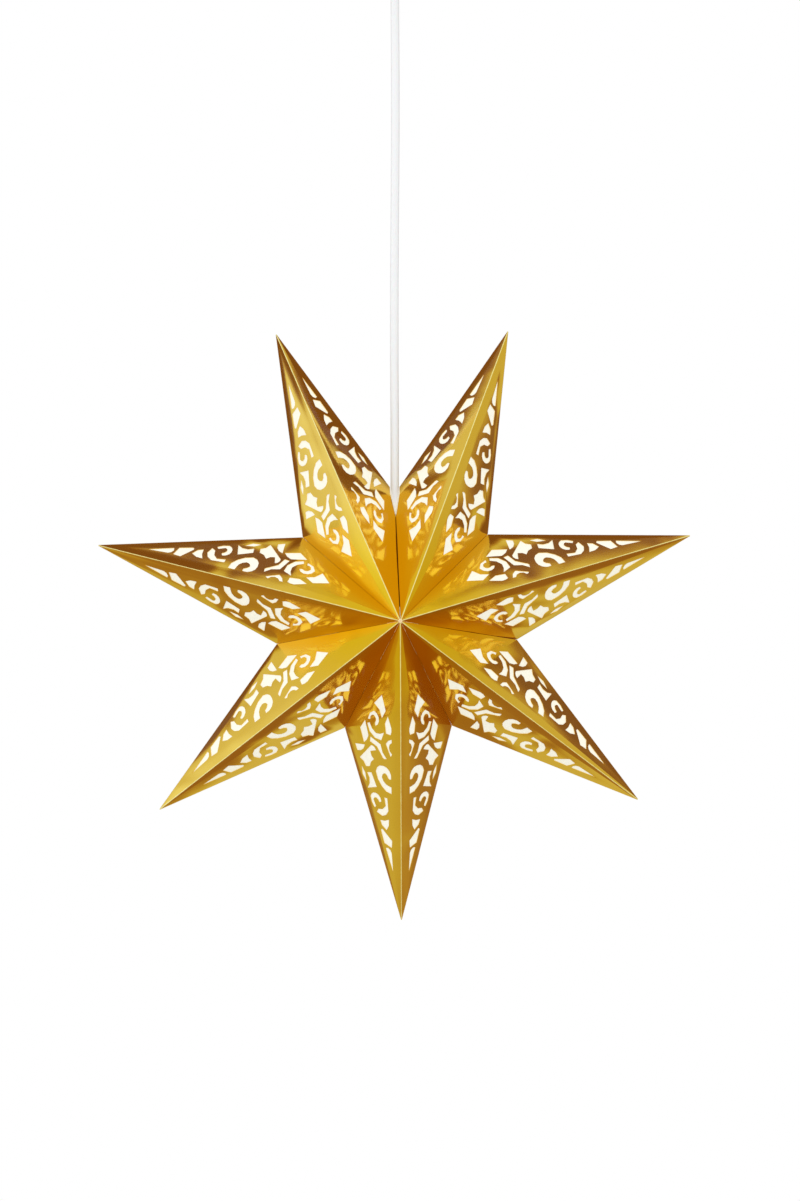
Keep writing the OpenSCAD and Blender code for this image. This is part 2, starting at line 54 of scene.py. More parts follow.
# Camera
# A long lens two metres from the star's centre, a little to the left of it and a little above it, so
# that the star hangs in the lower middle of a tall picture, right under its flex.
star_drop = 0.540
star_centre = Vector((0, 0, -star_drop))
camera_distance = 2.0
camera_lens = 76.74
camera_turn = radians(-2.17)
camera_rise = radians(2.70)
camera_back = Vector((sin(camera_turn) * cos(camera_rise), -cos(camera_turn) * cos(camera_rise),
                      sin(camera_rise)))
camera_aim = star_centre + Vector((0.0041, 0, 0.0125))
bpy.ops.object.camera_add(location=star_centre + camera_distance * camera_back)
camera = bpy.context.object
camera.name = "camera"
camera.rotation_mode = "QUATERNION"
camera.rotation_quaternion = (camera_aim - camera.location).to_track_quat("-Z", "Y")
camera.data.lens = camera_lens
camera.data.clip_start = 0.05
bpy.context.scene.camera = camera

# Flex
# Round white two-core mains flex with a smooth soft plastic sheath. It is clamped in the grip on the
# lamp holder, and the weight of the star holds it taut up to the ceiling cup.
flex_d = 0.0065
flex_route = [(0, 0, -0.47227), (0, 0, -0.390), (-0.0001, 0, -0.375), (-0.0002, 0, -0.360),
              (-0.0003, 0, -0.345), (-0.0003, 0, -0.330), (-0.0003, 0, -0.315), (-0.0003, 0, -0.300),
              (-0.0003, 0, -0.285), (-0.0002, 0, -0.270), (-0.0001, 0, -0.255), (0, 0, -0.240),
              (0.0001, 0, -0.225), (0.0002, 0.0001, -0.210), (0.0003, 0.0001, -0.195),
              (0.0004, 0.0002, -0.180), (0.0005, 0.0002, -0.165), (0.0005, 0.0002, -0.150),
              (0.0005, 0.0002, -0.135), (0.0005, 0.0002, -0.120), (0.0004, 0.0002, -0.105),
              (0.0003, 0.0001, -0.090), (0.0002, 0.0001, -0.075), (0.0001, 0, -0.060),
              (0, 0, -0.045), (0, 0, -0.026)]


def new_finish(name, values):
    """A new material and its node tree, with values set on the shader's own sockets."""
    material = bpy.data.materials.new(name)
    material.use_nodes = True
    for socket, value in values.items():
        material.node_tree.nodes["Principled BSDF"].inputs[socket].default_value = value
    return material


def node(tree, kind, inputs, **settings):
    """One shader node: each input is a value, or the output that feeds it."""
    made = tree.nodes.new(kind)
    for name, value in settings.items():
        setattr(made, name, value)
    for name, value in inputs.items():
        if isinstance(value, bpy.types.NodeSocket):
            tree.links.new(value, made.inputs[name])
        else:
            made.inputs[name].default_value = value
    return made


def feed(material, socket, output):
    """Lets an output drive one socket of the material's shader."""
    material.node_tree.links.new(output, material.node_tree.nodes["Principled BSDF"].inputs[socket])


def place_on(tree):
    """Where a point of the surface lies in the shared frame, in metres."""
    return node(tree, "ShaderNodeTexCoord", {}).outputs["Object"]


def noise(tree, place, scale, detail, distortion=0):
    """Soft noise about 0.5, with its scale in lumps per metre."""
    return node(tree, "ShaderNodeTexNoise", {"Vector": place, "Scale": scale, "Detail": detail,
                                             "Distortion": distortion}).outputs["Fac"]


def blended(tree, share, first, second):
    """A colour between two others."""
    first, second = [c if isinstance(c, bpy.types.NodeSocket) else (*c, 1) for c in (first, second)]
    return node(tree, "ShaderNodeMix", {"Factor": share, 6: first, 7: second}, data_type="RGBA").outputs[2]


def bumped(tree, height, strength, distance, under=None, **settings):
    """A normal tilted by a height, laid over another normal where one is given."""
    inputs = {"Height": height, "Strength": strength, "Distance": distance}
    if under:
        inputs["Normal"] = under
    return node(tree, "ShaderNodeBump", inputs, **settings).outputs["Normal"]


sheath = new_finish("white_flex_sheath", {"Roughness": 0.38, "Specular IOR Level": 0.45,
                                          "Subsurface Weight": 0.04, "Subsurface Scale": 0.001})
tree = sheath.node_tree
drawn = node(tree, "ShaderNodeMapping", {"Vector": place_on(tree), "Scale": (400, 400, 9)})
lines = noise(tree, drawn.outputs["Vector"], 1, 3)
feed(sheath, "Base Color", blended(tree, lines, (0.81, 0.81, 0.81), (0.85, 0.85, 0.85)))
feed(sheath, "Normal", bumped(tree, lines, 0.1, 0.0002))

flex_line = bpy.data.curves.new("flex_line", "CURVE")
flex_line.dimensions = "3D"
flex_line.bevel_depth = flex_d / 2
flex_line.bevel_resolution = 7
flex_line.use_fill_caps = True
run = flex_line.splines.new("POLY")
run.points.add(len(flex_route) - 1)
for point, place in zip(run.points, flex_route):
    point.co = (*place, 1)
flex_line.materials.append(sheath)
flex = bpy.data.objects.new("white_flex", flex_line)
bpy.context.collection.objects.link(flex)
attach(flex, "root")
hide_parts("flex")

# Star points
# Each point is one sheet of card laminated with gold foil, die-cut, scored and folded into a hollow
# spike with flanges that are glued to its neighbours. Along the outer folds the foil is painted pale, a
# painted highlight of the rounded fold together with foil rubbed thin there, and the seam between the two
# top points gapes a little near the star's centre.
point_count = 7
tip_radius = 0.240
valley_radius = 0.096
half_depth = 0.072
seam_draw = 3.5
hang_turn = radians(0.9)
fold_round = 0.00035
fold_reach = 0.00012
panel_bow = 1.55
long_bow = 0.1
bow_end = 0.038
foil_wave = 0.0021
seam_gape = 0.0021
gape_widest = 0.020
gape_end = 0.068
gape_side = 0.012
gape_deep = 0.008

hung = (Matrix.Translation((0, 0, valley_radius - star_drop)) @ Matrix.Rotation(-hang_turn, 4, "Y")
        @ Matrix.Translation((0, 0, -valley_radius)))
to_star = hung.inverted()
front = Vector((0, -half_depth, 0))
back = Vector((0, half_depth, 0))


def point_turn(k):
    """Turn of a point from the top, clockwise from the front, in degrees."""
    step = 360 / point_count
    even = step * (k - 0.5)
    drawn = seam_draw * (abs(180 - even) / (180 - step / 2)) ** 2
    return even - drawn if even < 180 else even + drawn


def valley_turn(k):
    """Turn of the valley after a point."""
    return 360 * (k // point_count) if k % point_count == 0 else (point_turn(k) + point_turn(k + 1)) / 2


def on_star(radius, turn):
    """A point of the star's middle plane, in the star's own frame."""
    return Vector((radius * sin(radians(turn)), 0, radius * cos(radians(turn))))


def only(piece):
    """Selects one piece alone."""
    bpy.ops.object.select_all(action="DESELECT")
    piece.select_set(True)
    bpy.context.view_layer.objects.active = piece


def close_edit():
    """Ends an edit with nothing selected."""
    bpy.ops.mesh.select_all(action="DESELECT")
    bpy.ops.object.mode_set(mode="OBJECT")


def joined_copy(cad_node, name):
    """A CAD node's mesh as a piece of its own, with its loose triangles joined into whole panels."""
    piece = bpy.data.objects.new(name, frame["nodes"][cad_node].data.copy())
    bpy.context.collection.objects.link(piece)
    piece.data.materials.clear()
    only(piece)
    if piece.data.has_custom_normals:
        bpy.ops.mesh.customdata_custom_splitnormals_clear()
    bpy.ops.object.mode_set(mode="EDIT")
    bpy.ops.mesh.select_all(action="SELECT")
    bpy.ops.mesh.remove_doubles(threshold=0.000002)
    bpy.ops.mesh.dissolve_limited(angle_limit=radians(0.2))
    close_edit()
    return piece


def off_line(p, a, b):
    """Distance of a point from the line through two others."""
    along = (b - a).normalized()
    return ((p - a) - (p - a).dot(along) * along).length


def soften_folds(piece, corners):
    """Rounds the outer edge of each fold, from corner to corner, as folded card is."""
    bpy.ops.object.mode_set(mode="EDIT")
    bpy.ops.mesh.select_mode(type="EDGE")
    bpy.ops.object.mode_set(mode="OBJECT")
    place = [to_star @ v.co for v in piece.data.vertices]
    for edge in piece.data.edges:
        ends = [place[i] for i in edge.vertices]
        edge.select = any(all(off_line(p, a, b) < fold_reach for p in ends) for a, b in corners)
    bpy.ops.object.mode_set(mode="EDIT")
    bpy.ops.mesh.bevel(offset=fold_round, segments=3, profile=0.5, affect="EDGES", clamp_overlap=True)
    close_edit()


def map_panels(piece, k):
    """Gives the sheet two maps in metres: along and across its panels from the ridge, and the distances
    from the valley fold and from the outer fold."""
    sheet_map = piece.data.uv_layers.new(name="along_across").data
    fold_map = piece.data.uv_layers.new(name="from_folds").data
    upright = Matrix.Rotation(radians(-point_turn(k)), 4, "Y") @ to_star
    tip = Vector((0, 0, tip_radius))
    for face in piece.data.polygons:
        middle = upright @ face.center
        side = 1 if middle.x > 0 else -1
        turn = valley_turn(k) - point_turn(k) if side > 0 else point_turn(k) - valley_turn(k - 1)
        corner = on_star(valley_radius, side * turn)
        apex = front if middle.y < 0 else back
        along = (tip - apex).normalized()
        down = corner - apex
        across = (down - down.dot(along) * along).normalized()
        valley = Vector((down.dot(along), down.dot(across)))
        ridge = (tip - apex).length
        outer = (valley - Vector((ridge, 0))).normalized()
        valley.normalize()
        for i in face.loop_indices:
            p = upright @ piece.data.vertices[piece.data.loops[i].vertex_index].co - apex
            u, v = p.dot(along), p.dot(across)
            sheet_map[i].uv = (u, v)
            fold_map[i].uv = (u * valley.y - v * valley.x, -(v * outer.x - (u - ridge) * outer.y))


def fitted(piece, nodes, angle=40):
    """Smooths a finished piece, hangs it on the root body, and hides the CAD solids it stands for."""
    only(piece)
    bpy.ops.object.shade_smooth_by_angle(angle=radians(angle))
    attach(piece, "root")
    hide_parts(*nodes)


def ranged(tree, value, start, end, low, high, shape="LINEAR"):
    """Carries a value from one range over to another, and holds it at the ends."""
    return node(tree, "ShaderNodeMapRange", {"Value": value, "From Min": start, "From Max": end,
                                             "To Min": low, "To Max": high}, interpolation_type=shape
                ).outputs["Result"]


def maths(tree, operation, *values):
    """The answer of one sum."""
    return node(tree, "ShaderNodeMath", dict(enumerate(values)), operation=operation).outputs[0]


def away_from_centre(tree, place):
    """Distance from the star's centre, in metres."""
    centred = node(tree, "ShaderNodeVectorMath", {0: place, 1: hung.translation}, operation="SUBTRACT")
    return node(tree, "ShaderNodeVectorMath", {0: centred.outputs["Vector"]}, operation="LENGTH"
                ).outputs["Value"]


foil = new_finish("gold_foil_card", {"Coat Roughness": 0.08})
tree = foil.node_tree
place = place_on(tree)
along_across = node(tree, "ShaderNodeSeparateXYZ", {
    "Vector": node(tree, "ShaderNodeUVMap", {}, uv_map="along_across").outputs["UV"]}).outputs
from_folds = node(tree, "ShaderNodeSeparateXYZ", {
    "Vector": node(tree, "ShaderNodeUVMap", {}, uv_map="from_folds").outputs["UV"]}).outputs
from_ridge = maths(tree, "ABSOLUTE", along_across["Y"])
from_outer = maths(tree, "ABSOLUTE", from_folds["Y"])

# The folds: an uneven pale line on each ridge, a painted highlight of the rounded fold together with foil
# rubbed thin there, and a faint pale line on each outer fold.
ridge_line_width = ranged(tree, noise(tree, place, 260, 3), 0.3, 0.7, 0.0005, 0.0010)
ridge_highlight_and_rub = ranged(tree, from_ridge, ridge_line_width, 0.0002, 0, 1)
outer_fold_pale_line = ranged(tree, from_outer, 0.0005, 0.0001, 0, 0.5)
fold_highlight_and_wear = maths(tree, "MAXIMUM", ridge_highlight_and_rub, outer_fold_pale_line)

# The gold: painted deeper and more orange near the star's centre, a painted reflection of the panels
# mirroring each other there, and paler further out.
outward = ranged(tree, away_from_centre(tree, place), 0.05, 0.12, 0, 1, "SMOOTHSTEP")
gold = blended(tree, outward, (0.94, 0.57, 0.004), (0.94, 0.61, 0.10))
feed(foil, "Base Color", blended(tree, fold_highlight_and_wear, gold, (1.0, 0.90, 0.40)))
feed(foil, "Metallic", ranged(tree, fold_highlight_and_wear, 0, 1, 1, 0.45))
feed(foil, "Coat Weight", ranged(tree, outward, 0, 1, 0.05, 0.6))
feed(foil, "Roughness", ranged(tree, noise(tree, place, 45, 2), 0.3, 0.7, 0.07, 0.12))

# The sheet's shape: each panel bows outwards, with slow waves and a faint peel in the foil.
spread = maths(tree, "SMOOTH_MIN", from_ridge, bow_end, 0.012)
across_bow = maths(tree, "MULTIPLY", spread, spread)
along_bow = maths(tree, "MULTIPLY", along_across["X"], along_across["X"])
bow = maths(tree, "MULTIPLY_ADD", along_bow, long_bow, across_bow)
bowed = bumped(tree, bow, 1.0, panel_bow, invert=True)
waved = bumped(tree, noise(tree, place, 17, 0.6, 0.8), 1.0, foil_wave, bowed)
feed(foil, "Normal", bumped(tree, noise(tree, place, 700, 2), 0.12, 0.0001, waved))

for k in range(1, point_count + 1):
    piece = joined_copy(f"point_{k}", f"foil_point_{k}")
    tip = on_star(tip_radius, point_turn(k))
    left, right = on_star(valley_radius, valley_turn(k - 1)), on_star(valley_radius, valley_turn(k))
    soften_folds(piece, [(front, tip), (back, tip), (left, tip), (right, tip), (front, left),
                         (front, right), (back, left), (back, right)])
    if k in (1, point_count):
        side = 1 if k == 1 else -1
        for v in piece.data.vertices:
            p = to_star @ v.co
            if p.y < 0 and 0 < p.z < gape_end:
                widest = min(p.z / gape_widest, (gape_end - p.z) / (gape_end - gape_widest))
                behind_fold = p.y + half_depth * (1 - p.z / valley_radius)
                share = max(0, 1 - abs(p.x) / gape_side) * min(1, max(0, 1 - behind_fold / gape_deep))
                v.co += hung.to_3x3() @ Vector((side * seam_gape * widest * share, 0, 0))
    map_panels(piece, k)
    piece.data.materials.append(foil)
    fitted(piece, [f"point_{k}"], 28)

# Linings
# Behind the cut-outs of each point is a folded sheet of thin white paper that glows with the light of
# the bulb, whitest near it and warmer towards the tip.
paper = new_finish("lit_lining_paper", {"Base Color": (0.56, 0.56, 0.53, 1), "Roughness": 0.85,
                                        "Emission Strength": 0.44})
tree = paper.node_tree
place = place_on(tree)
towards_tip = ranged(tree, away_from_centre(tree, place), 0.06, 0.21, 0, 1)
glow = blended(tree, towards_tip, (1.0, 0.95, 0.72), (0.98, 0.90, 0.62))
fibre = noise(tree, place, 420, 4)
cloud = ranged(tree, fibre, 0.3, 0.7, 0.93, 1.05)
lit = node(tree, "ShaderNodeVectorMath", {0: glow, 1: cloud}, operation="MULTIPLY").outputs["Vector"]
feed(paper, "Emission Color", lit)
feed(paper, "Normal", bumped(tree, fibre, 0.3, 0.0001))
for k in range(1, point_count + 1):
    lining = frame["nodes"][f"lining_{k}"]
    lining.data.materials.clear()
    lining.data.materials.append(paper)

# Seam pins
# The star is folded flat when it is stored, so the seam between its two top points is closed with two
# brass split pins: a domed head on one flange, and two legs bent flat against the other. Inside the
# seam the foil of both flanges is painted dark red-brown, as painted shade in the narrow gap.
pin_place = (0.03184, 0.04488)
pin_tilt = atan2(half_depth, valley_radius)
pin_face = 0.6
leg_half = 9.0
leg_straight = 6.2
leg_taper = 0.55
seam_wall = 0.0025


def turned(name, outline, steps=48):
    """A round piece spun about the flex's line, from an outline of (radius, height) points in mm."""
    bpy.ops.object.select_all(action="DESELECT")
    bpy.ops.mesh.primitive_plane_add(size=0.001, location=(0, 0, 0))
    piece = bpy.context.object
    piece.name = name
    bpy.ops.object.mode_set(mode="EDIT")
    bpy.ops.mesh.select_mode(type="VERT")
    bpy.ops.mesh.select_all(action="SELECT")
    bpy.ops.mesh.merge(type="CENTER")
    corners = [Vector((r, 0, z)) * 0.001 for r, z in outline]
    bpy.ops.transform.translate(value=corners[0])
    if outline[0][0] > 0:
        corners.append(corners[0])
    for here, there in zip(corners, corners[1:]):
        bpy.ops.mesh.extrude_region_move(TRANSFORM_OT_translate={"value": there - here})
    bpy.ops.mesh.select_all(action="SELECT")
    bpy.ops.mesh.remove_doubles(threshold=0.0000005)
    bpy.ops.mesh.spin(steps=steps, angle=radians(360), center=(0, 0, 0), axis=(0, 0, 1))
    bpy.ops.mesh.select_all(action="SELECT")
    bpy.ops.mesh.remove_doubles(threshold=0.0000005)
    bpy.ops.mesh.normals_make_consistent(inside=False)
    close_edit()
    return piece


def arc(r, z, radius, start, end, steps):
    """Outline points of a part of a circle, from one angle to another."""
    turns = [radians(start + (end - start) * i / steps) for i in range(steps + 1)]
    return [(r + radius * cos(a), z + radius * sin(a)) for a in turns]


def block(name, centre, size, rounding):
    """A small block with rounded edges, its centre and size in mm."""
    bpy.ops.object.select_all(action="DESELECT")
    bpy.ops.mesh.primitive_cube_add(size=1, location=(0, 0, 0))
    piece = bpy.context.object
    piece.name = name
    bpy.ops.object.mode_set(mode="EDIT")
    bpy.ops.mesh.select_all(action="SELECT")
    bpy.ops.transform.resize(value=Vector(size) * 0.001)
    bpy.ops.transform.translate(value=Vector(centre) * 0.001)
    bpy.ops.mesh.bevel(offset=rounding * 0.001, segments=3, affect="EDGES")
    close_edit()
    return piece


def as_one(name, parts):
    """Joins parts into one piece."""
    only(parts[0])
    for part in parts[1:]:
        part.select_set(True)
    bpy.ops.object.join()
    parts[0].name = name
    return parts[0]


grain = bpy.data.node_groups.new("fine_grain", "ShaderNodeTree")
for socket, kind in (("Vector", "NodeSocketVector"), ("Scale", "NodeSocketFloat"),
                     ("Dark", "NodeSocketColor"), ("Light", "NodeSocketColor"),
                     ("Smooth", "NodeSocketFloat"), ("Rough", "NodeSocketFloat")):
    grain.interface.new_socket(name=socket, in_out="INPUT", socket_type=kind)
for socket, kind in (("Color", "NodeSocketColor"), ("Roughness", "NodeSocketFloat"),
                     ("Height", "NodeSocketFloat")):
    grain.interface.new_socket(name=socket, in_out="OUTPUT", socket_type=kind)
given = node(grain, "NodeGroupInput", {}).outputs
fine = noise(grain, given["Vector"], given["Scale"], 3)
patches = noise(grain, given["Vector"], maths(grain, "MULTIPLY", given["Scale"], 0.12), 2)
mottled = blended(grain, fine, given["Dark"], given["Light"])
gloss = ranged(grain, patches, 0.3, 0.7, given["Smooth"], given["Rough"])
node(grain, "NodeGroupOutput", {"Color": mottled, "Roughness": gloss, "Height": fine})


def grained(name, dark, light, smooth, rough, scale, relief, stretch=(1, 1, 1), values=None):
    """A finish with the fine grain: a mottled tone, an uneven gloss and a slight relief."""
    made = new_finish(name, values or {})
    tree = made.node_tree
    drawn = node(tree, "ShaderNodeMapping", {"Vector": place_on(tree), "Scale": stretch}).outputs["Vector"]
    face = node(tree, "ShaderNodeGroup", {"Vector": drawn, "Scale": scale, "Dark": (*dark, 1),
                                          "Light": (*light, 1), "Smooth": smooth, "Rough": rough},
                node_tree=grain).outputs
    feed(made, "Base Color", face["Color"])
    feed(made, "Roughness", face["Roughness"])
    feed(made, "Normal", bumped(tree, face["Height"], 0.4, relief))
    return made


brass = grained("bright_brass", (0.70, 0.48, 0.17), (0.86, 0.63, 0.26), 0.18, 0.34, 900, 0.00002,
                values={"Metallic": 1.0})
# Painted shade: a dark foil for the flange faces that face each other across the seam's narrow gap.
painted_seam_shade = grained("shaded_seam_foil", (0.16, 0.03, 0.004), (0.24, 0.05, 0.008), 0.30, 0.45, 300, 0.00002,
                  values={"Metallic": 0.6})
for k in (1, point_count):
    sheet = bpy.data.objects[f"foil_point_{k}"].data
    sheet.materials.append(painted_seam_shade)
    for face in sheet.polygons:
        beside_seam = abs((to_star @ face.center).x) < seam_wall
        if beside_seam and abs((to_star.to_3x3() @ face.normal).x) > 0.7:
            face.material_index = 1
head = turned("pin_head", [(0, 1.6), *arc(0, -2.5, 4.1, 78, 37.6, 6), (3.2, 0), (1.2, 0), (1.2, -1.7),
                           (0, -1.7)], 24)
head.data.transform(Matrix.Translation((-pin_face * 0.001, 0, 0)) @ Matrix.Rotation(radians(-90), 4, "Y"))
legs = [block("pin_leg", (pin_face + 0.25, 0, end * 4.55), (0.5, 2.3, 8.9), 0.22) for end in (1, -1)]
for leg, end in zip(legs, (1, -1)):
    for v in leg.data.vertices:
        out = max(0, end * v.co.z * 1000 - leg_straight) / (leg_half - leg_straight)
        v.co.y *= 1 - leg_taper * out * out
pin = as_one("split_pin", [head, *legs])
pin.data.materials.append(brass)
for name, side in (("split_pin_front", 1), ("split_pin_back", -1)):
    copy = bpy.data.objects.new(name, pin.data.copy())
    bpy.context.collection.objects.link(copy)
    copy.data.transform(hung @ Matrix.Translation((0, -side * pin_place[0], pin_place[1]))
                        @ Matrix.Rotation(-side * pin_tilt, 4, "X"))
    fitted(copy, [name.replace("split", "seam")])
bpy.data.objects.remove(pin)

# Flex grip
# The flex hangs the star from a moulded nylon grip on top of the holder. Its ribbed barrel clamps the
# sheath, and its threaded neck goes through the cap and is held by a hexagon nut inside.
seat = -475.267
grip_ribs = 40
nut_bore = 0.0050
nut_flat = 0.005629
nylon = grained("natural_nylon", (0.78, 0.77, 0.71), (0.88, 0.87, 0.82), 0.32, 0.46, 700, 0.00003,
                values={"Subsurface Weight": 0.1, "Subsurface Scale": 0.002})


def threads(radius, depth, high, low, pitch):
    """Outline points of a screw thread that runs down a round wall."""
    turns = int((high - low) / pitch)
    return [(radius - depth * (i % 2), high - (high - low) * i / (2 * turns)) for i in range(2 * turns + 1)]


def pick_faces(piece, wanted):
    """Opens a piece for an edit of the faces that pass a test of their centre in mm and their normal."""
    only(piece)
    bpy.ops.object.mode_set(mode="EDIT")
    bpy.ops.mesh.select_mode(type="FACE")
    bpy.ops.mesh.select_all(action="DESELECT")
    bpy.ops.object.mode_set(mode="OBJECT")
    for face in piece.data.polygons:
        face.select = wanted(face.center * 1000, face.normal)
    bpy.ops.object.mode_set(mode="EDIT")


def pressed_ribs(piece, strips, low, high, radius, depth):
    """Sinks every other strip of a round wall between two heights in mm, so that ribs stand between."""
    def sinks(c, normal):
        strip = round(atan2(c.y, c.x) * strips / (2 * pi) - 0.5)
        return low < c.z < high and c.x * c.x + c.y * c.y > radius * radius and strip % 2 == 0

    pick_faces(piece, sinks)
    bpy.ops.mesh.inset(thickness=0.00008, depth=-depth * 0.001, use_individual=True)
    close_edit()


barrel = turned("ribbed_flex_grip", [
    (0, seat - 6.8), (3.6, seat - 6.8), *threads(4.0, 0.3, seat - 0.2, seat - 6.2, 1.0)[::-1],
    (4.9, seat), (5.5, seat + 0.6), (5.5, seat + 2.2), (5.2, seat + 2.6), (5.2, seat + 7.2),
    *arc(4.2, seat + 8.0, 1.0, 20, 90, 4), (3.6, seat + 9.0), (3.4, seat + 8.6), (3.4, seat + 3),
    (0, seat + 3)], grip_ribs)
pressed_ribs(barrel, grip_ribs, seat + 2.5, seat + 7.4, 5, 0.35)
barrel.data.materials.append(nylon)
fitted(barrel, ["flex_grip"])

nut = turned("hexagon_grip_nut", [
    (4.15, seat - 2.0), (4.4, seat - 1.8), (5.6, seat - 1.8), (6.5, seat - 2.2), (6.5, seat - 4.4),
    (5.6, seat - 4.8), (4.4, seat - 4.8), (4.15, seat - 4.6)], 60)
for v in nut.data.vertices:
    r = Vector((v.co.x, v.co.y)).length
    if r > nut_bore:
        around_flat = (atan2(v.co.y, v.co.x) % radians(60)) - radians(30)
        flat = min(1, nut_flat / cos(around_flat) / r)
        v.co.x *= flat
        v.co.y *= flat
nut.data.materials.append(nylon)
fitted(nut, ["grip_nut"], 25)

# Lamp holder
# A small glossy white moulded holder hangs inside the star, and the flanges of the points rest on its
# cap. The cap screws on to the skirt, whose thread carries two shade rings.
cap_foot = -497.267
skirt_foot = -531.267
ring_ribs = 72
moulding = grained("white_moulding", (0.86, 0.86, 0.83), (0.91, 0.91, 0.89), 0.16, 0.26, 350, 0.00002,
                   values={"Coat Weight": 0.2})
cap = turned("holder_dome", [
    (4.15, seat), (11.6, seat), *arc(11.4, seat - 0.8, 0.8, 85, 48, 3), (14.1, seat - 4.6),
    *arc(13.5, seat - 5.6, 1.0, 40, 0, 3), (14.5, cap_foot + 1.0), (14.3, cap_foot + 0.35),
    (14.0, cap_foot + 0.15), (12.7, cap_foot + 0.15), (12.7, seat - 6.8), (10.2, seat - 1.8),
    (4.15, seat - 1.8)], ring_ribs)
pressed_ribs(cap, ring_ribs, cap_foot + 1.2, seat - 6.0, 14.2, 0.3)
cap.data.materials.append(moulding)
fitted(cap, ["holder_cap"])

ring_top = cap_foot - 7
skirt = turned("holder_skirt_with_rings", [
    (10.75, cap_foot + 7), *threads(12.55, 0.35, cap_foot + 6.8, cap_foot + 0.2, 1.6), (12.55, cap_foot),
    (14.3, cap_foot), (14.5, cap_foot - 0.2), (14.5, ring_top),
    (16.2, ring_top), (16.5, ring_top - 0.3), (16.5, ring_top - 2.1), (16.2, ring_top - 2.4),
    *threads(14.5, 0.4, ring_top - 2.5, ring_top - 4.7, 1.1),
    (16.2, ring_top - 4.8), (16.5, ring_top - 5.1), (16.5, ring_top - 6.9), (16.2, ring_top - 7.2),
    *threads(14.5, 0.4, ring_top - 7.3, skirt_foot + 4, 1.2),
    (14.4, skirt_foot + 0.4), (14.1, skirt_foot), (13.1, skirt_foot), (12.7, skirt_foot + 0.4),
    (12.7, cap_foot - 1.5), (8.8, cap_foot - 1.5), (8.8, cap_foot), (10.75, cap_foot)], ring_ribs)
for ring in (ring_top, ring_top - 4.8):
    pressed_ribs(skirt, ring_ribs, ring - 2.2, ring - 0.2, 16.3, 0.35)
skirt.data.materials.append(moulding)
fitted(skirt, ["holder_skirt"])

# Contact block
# A glazed ceramic block carries the current from the two cores to the bulb: two brass screws on top,
# and below it a nickelled threaded shell around a springy centre tongue.
ceramic = grained("white_glazed_ceramic", (0.80, 0.78, 0.72), (0.90, 0.88, 0.83), 0.10, 0.20, 500, 0.00003,
                  values={"Coat Weight": 0.4})
nickel = grained("nickel_plate", (0.60, 0.58, 0.53), (0.78, 0.76, 0.71), 0.16, 0.30, 800, 0.00002,
                 values={"Metallic": 1.0})
block_top = cap_foot + 8
tongue_half = 0.0028
tongue_spring = 0.0008


def sunk_slot(piece, across, width, floor, depth):
    """Sinks a straight slot, in mm, across the top of a piece: two cuts, then the strip pushed down."""
    only(piece)
    bpy.ops.object.mode_set(mode="EDIT")
    for edge in (-width / 2, width / 2):
        bpy.ops.mesh.select_all(action="SELECT")
        bpy.ops.mesh.bisect(plane_co=(0, (across + edge) * 0.001, 0), plane_no=(0, 1, 0))
    close_edit()
    pick_faces(piece, lambda c, normal: normal.z > 0.99 and c.z > floor and abs(c.y - across) < width / 2)
    bpy.ops.mesh.extrude_region_move(TRANSFORM_OT_translate={"value": (0, 0, -depth * 0.001)})
    close_edit()


block_body = turned("ceramic_contact_block", [
    (0, block_top), (9.8, block_top), *arc(9.8, block_top - 0.8, 0.8, 80, 0, 3), (10.6, cap_foot + 0.5),
    (10.2, cap_foot), (0, cap_foot)], 48)
for across in (-4.6, 4.6):
    sunk_slot(block_body, across, 1.6, block_top - 0.1, 1.2)
block_body.data.materials.append(ceramic)
fitted(block_body, ["contact_block"])

screws = []
for side in (1, -1):
    screw = turned("screw_head", [(0, block_top + 2), (1.5, block_top + 2), (1.85, block_top + 1.8),
                                  (2.0, block_top + 1.4), (2.0, block_top + 0.1), (1.8, block_top),
                                  (0, block_top)], 24)
    sunk_slot(screw, 0, 0.6, block_top + 1.9, 0.8)
    screw.data.transform(Matrix.Translation((side * 0.0065, 0, 0)))
    screws.append(screw)
screws = as_one("slotted_terminal_screws", screws)
screws.data.materials.append(brass)
fitted(screws, ["terminal_screws"])

outer_threads = threads(7.8, 0.35, cap_foot - 1.5, cap_foot - 20.5, 2.8)
shell = turned("rolled_thread_shell", [
    (7.3, cap_foot), (7.8, cap_foot), *outer_threads, (7.8, cap_foot - 21), (7.35, cap_foot - 21),
    *[(r - 0.42, z) for r, z in outer_threads[::-1]]], 48)
shell.data.materials.append(nickel)
fitted(shell, ["threaded_shell"])

tongue = block("contact_tongue", (0, 0, cap_foot - 0.9), (5.6, 3.2, 0.4), 0.12)
only(tongue)
bpy.ops.object.mode_set(mode="EDIT")
bpy.ops.mesh.select_all(action="SELECT")
bpy.ops.mesh.subdivide(number_cuts=5)
bpy.ops.object.mode_set(mode="OBJECT")
for v in tongue.data.vertices:
    v.co.z -= tongue_spring * (1 - (v.co.x / tongue_half) ** 2)
rivet = turned("contact_rivet", [(0, cap_foot), (1.6, cap_foot), (1.6, cap_foot - 0.6),
                                 (1.1, cap_foot - 1.6), (0, cap_foot - 1.6)], 24)
tongue = as_one("sprung_centre_tongue", [tongue, rivet])
tongue.data.materials.append(nickel)
fitted(tongue, ["centre_contact"])

